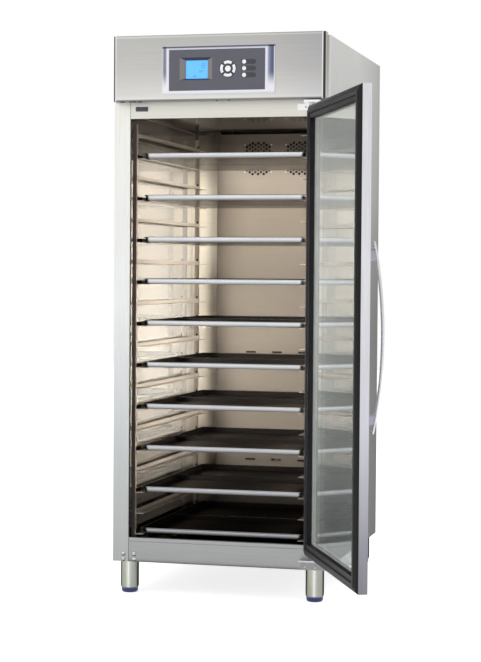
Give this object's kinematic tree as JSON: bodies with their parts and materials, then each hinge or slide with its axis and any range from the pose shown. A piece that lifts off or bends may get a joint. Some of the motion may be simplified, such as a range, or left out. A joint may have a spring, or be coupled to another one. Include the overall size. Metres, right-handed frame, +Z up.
{
  "type": "proofing cabinet",
  "caption": "Upright insulated proofing cabinet on adjustable legs: hinged glazed door, control panel in its head, racks of runners with baking trays, cooling unit and fans.",
  "frame": {"origin": "centre of the front left foot's sole, on the floor", "axes": "+X to the right seen from the front, +Y from the front to the back, +Z up"},
  "size_m": [1.1078, 1.7099, 2.0068],
  "materials": {
    "satin_steel": "satin stainless sheet",
    "fascia_steel": "fine brushed stainless sheet",
    "polished_steel": "polished stainless sheet",
    "zinc_steel": "zinc coated sheet",
    "rigid_foam": "cut foam",
    "panel_plastic": "fine moulded texture with a silver bezel",
    "display_glass": "lit blue display",
    "key_plastic": "moulded white",
    "black_enamel": "baked black enamel",
    "coil_aluminium": "bare fins",
    "fan_plastic": "moulded black",
    "lamp_plastic": "opal diffuser",
    "tray_aluminium": "drawn sheet",
    "frame_aluminium": "anodised extrusion",
    "frame_plastic": "charcoal extrusion",
    "pane_glass": "clear float glass",
    "seal_rubber": "black silicone",
    "handle_steel": "bright satin",
    "hinge_steel": "bright stainless",
    "foot_plastic": "moulded dark blue"
  },
  "bodies": {
    "cabinet": {"side_panel_left": "satin_steel", "side_panel_right": "satin_steel", "front_frame": "satin_steel", "base_panel": "satin_steel", "rear_panel": "zinc_steel", "insulation_shell": "rigid_foam", "inner_liner": "polished_steel", "air_panel": "polished_steel", "rack_left": "polished_steel", "rack_right": "polished_steel", "fascia_panel": "fascia_steel", "control_panel": "panel_plastic", "lcd_screen": "display_glass", "compressor": "black_enamel", "condenser_coil": "coil_aluminium", "evaporator_coil": "coil_aluminium", "steam_humidifier": "zinc_steel", "cabinet_lamp": "lamp_plastic", "hinge_top": "hinge_steel", "hinge_bottom": "hinge_steel"},
    "door": {"door_frame": "frame_aluminium", "door_inner_frame": "frame_plastic", "glazing_unit": "pane_glass", "door_seal": "seal_rubber", "door_handle": "handle_steel"},
    "fan_left_rotor": {"fan_left": "fan_plastic"},
    "fan_right_rotor": {"fan_right": "fan_plastic"},
    "condenser_fan_rotor": {"condenser_fan": "fan_plastic"},
    "key_up_cap": {"key_up": "key_plastic"},
    "key_down_cap": {"key_down": "key_plastic"},
    "key_left_cap": {"key_left": "key_plastic"},
    "key_right_cap": {"key_right": "key_plastic"},
    "key_centre_cap": {"key_centre": "key_plastic"},
    "function_key_1_cap": {"function_key_1": "key_plastic"},
    "function_key_2_cap": {"function_key_2": "key_plastic"},
    "function_key_3_cap": {"function_key_3": "key_plastic"},
    "foot_front_left_screw": {"foot_front_left": "foot_plastic"},
    "foot_front_right_screw": {"foot_front_right": "foot_plastic"},
    "foot_rear_left_screw": {"foot_rear_left": "foot_plastic"},
    "foot_rear_right_screw": {"foot_rear_right": "foot_plastic"},
    "tray_level_01": {"tray_front_01": "tray_aluminium", "tray_rear_01": "tray_aluminium"},
    "tray_level_02": {"tray_front_02": "tray_aluminium", "tray_rear_02": "tray_aluminium"},
    "tray_level_03": {"tray_front_03": "tray_aluminium", "tray_rear_03": "tray_aluminium"},
    "tray_level_04": {"tray_front_04": "tray_aluminium", "tray_rear_04": "tray_aluminium"},
    "tray_level_05": {"tray_front_05": "tray_aluminium", "tray_rear_05": "tray_aluminium"},
    "tray_level_06": {"tray_front_06": "tray_aluminium", "tray_rear_06": "tray_aluminium"},
    "tray_level_07": {"tray_front_07": "tray_aluminium", "tray_rear_07": "tray_aluminium"},
    "tray_level_08": {"tray_front_08": "tray_aluminium", "tray_rear_08": "tray_aluminium"},
    "tray_level_09": {"tray_front_09": "tray_aluminium", "tray_rear_09": "tray_aluminium"},
    "tray_level_10": {"tray_front_10": "tray_aluminium", "tray_rear_10": "tray_aluminium"}
  },
  "joints": [
    {"name": "door_swing", "type": "hinge", "parent": "cabinet", "child": "door", "pos_m": [0.703, -0.086, 0.171], "axis": [0, 0, 1], "range_deg": [-114.4, 10.6]},
    {"name": "fan_left_spin", "type": "hinge", "parent": "cabinet", "child": "fan_left_rotor", "pos_m": [0.26, 0.84, 1.6263], "axis": [0, 1, 0], "continuous": true},
    {"name": "fan_right_spin", "type": "hinge", "parent": "cabinet", "child": "fan_right_rotor", "pos_m": [0.43, 0.84, 1.6263], "axis": [0, 1, 0], "continuous": true},
    {"name": "condenser_fan_spin", "type": "hinge", "parent": "cabinet", "child": "condenser_fan_rotor", "pos_m": [0.485, 0.61, 1.8788], "axis": [0, 1, 0], "continuous": true},
    {"name": "key_up_press", "type": "slide", "parent": "cabinet", "child": "key_up_cap", "axis": [0, 1, 0], "range_m": [0, 0.0008], "stiffness_N_per_m": 400, "springref_m": -0.0005},
    {"name": "key_down_press", "type": "slide", "parent": "cabinet", "child": "key_down_cap", "axis": [0, 1, 0], "range_m": [0, 0.0008], "stiffness_N_per_m": 400, "springref_m": -0.0005},
    {"name": "key_left_press", "type": "slide", "parent": "cabinet", "child": "key_left_cap", "axis": [0, 1, 0], "range_m": [0, 0.0008], "stiffness_N_per_m": 400, "springref_m": -0.0005},
    {"name": "key_right_press", "type": "slide", "parent": "cabinet", "child": "key_right_cap", "axis": [0, 1, 0], "range_m": [0, 0.0008], "stiffness_N_per_m": 400, "springref_m": -0.0005},
    {"name": "key_centre_press", "type": "slide", "parent": "cabinet", "child": "key_centre_cap", "axis": [0, 1, 0], "range_m": [0, 0.0008], "stiffness_N_per_m": 400, "springref_m": -0.0005},
    {"name": "function_key_1_press", "type": "slide", "parent": "cabinet", "child": "function_key_1_cap", "axis": [0, 1, 0], "range_m": [0, 0.0008], "stiffness_N_per_m": 400, "springref_m": -0.0005},
    {"name": "function_key_2_press", "type": "slide", "parent": "cabinet", "child": "function_key_2_cap", "axis": [0, 1, 0], "range_m": [0, 0.0008], "stiffness_N_per_m": 400, "springref_m": -0.0005},
    {"name": "function_key_3_press", "type": "slide", "parent": "cabinet", "child": "function_key_3_cap", "axis": [0, 1, 0], "range_m": [0, 0.0008], "stiffness_N_per_m": 400, "springref_m": -0.0005},
    {"name": "foot_front_left_height", "type": "slide", "parent": "cabinet", "child": "foot_front_left_screw", "axis": [0, 0, -1], "range_m": [0, 0.03]},
    {"name": "foot_front_right_height", "type": "slide", "parent": "cabinet", "child": "foot_front_right_screw", "axis": [0, 0, -1], "range_m": [0, 0.03]},
    {"name": "foot_rear_left_height", "type": "slide", "parent": "cabinet", "child": "foot_rear_left_screw", "axis": [0, 0, -1], "range_m": [0, 0.03]},
    {"name": "foot_rear_right_height", "type": "slide", "parent": "cabinet", "child": "foot_rear_right_screw", "axis": [0, 0, -1], "range_m": [0, 0.03]},
    {"name": "tray_level_01_slide", "type": "slide", "parent": "cabinet", "child": "tray_level_01", "axis": [0, -1, 0], "range_m": [0, 0.38]},
    {"name": "tray_level_02_slide", "type": "slide", "parent": "cabinet", "child": "tray_level_02", "axis": [0, -1, 0], "range_m": [0, 0.38]},
    {"name": "tray_level_03_slide", "type": "slide", "parent": "cabinet", "child": "tray_level_03", "axis": [0, -1, 0], "range_m": [0, 0.38]},
    {"name": "tray_level_04_slide", "type": "slide", "parent": "cabinet", "child": "tray_level_04", "axis": [0, -1, 0], "range_m": [0, 0.38]},
    {"name": "tray_level_05_slide", "type": "slide", "parent": "cabinet", "child": "tray_level_05", "axis": [0, -1, 0], "range_m": [0, 0.38]},
    {"name": "tray_level_06_slide", "type": "slide", "parent": "cabinet", "child": "tray_level_06", "axis": [0, -1, 0], "range_m": [0, 0.38]},
    {"name": "tray_level_07_slide", "type": "slide", "parent": "cabinet", "child": "tray_level_07", "axis": [0, -1, 0], "range_m": [0, 0.38]},
    {"name": "tray_level_08_slide", "type": "slide", "parent": "cabinet", "child": "tray_level_08", "axis": [0, -1, 0], "range_m": [0, 0.38]},
    {"name": "tray_level_09_slide", "type": "slide", "parent": "cabinet", "child": "tray_level_09", "axis": [0, -1, 0], "range_m": [0, 0.38]},
    {"name": "tray_level_10_slide", "type": "slide", "parent": "cabinet", "child": "tray_level_10", "axis": [0, -1, 0], "range_m": [0, 0.38]}
  ]
}
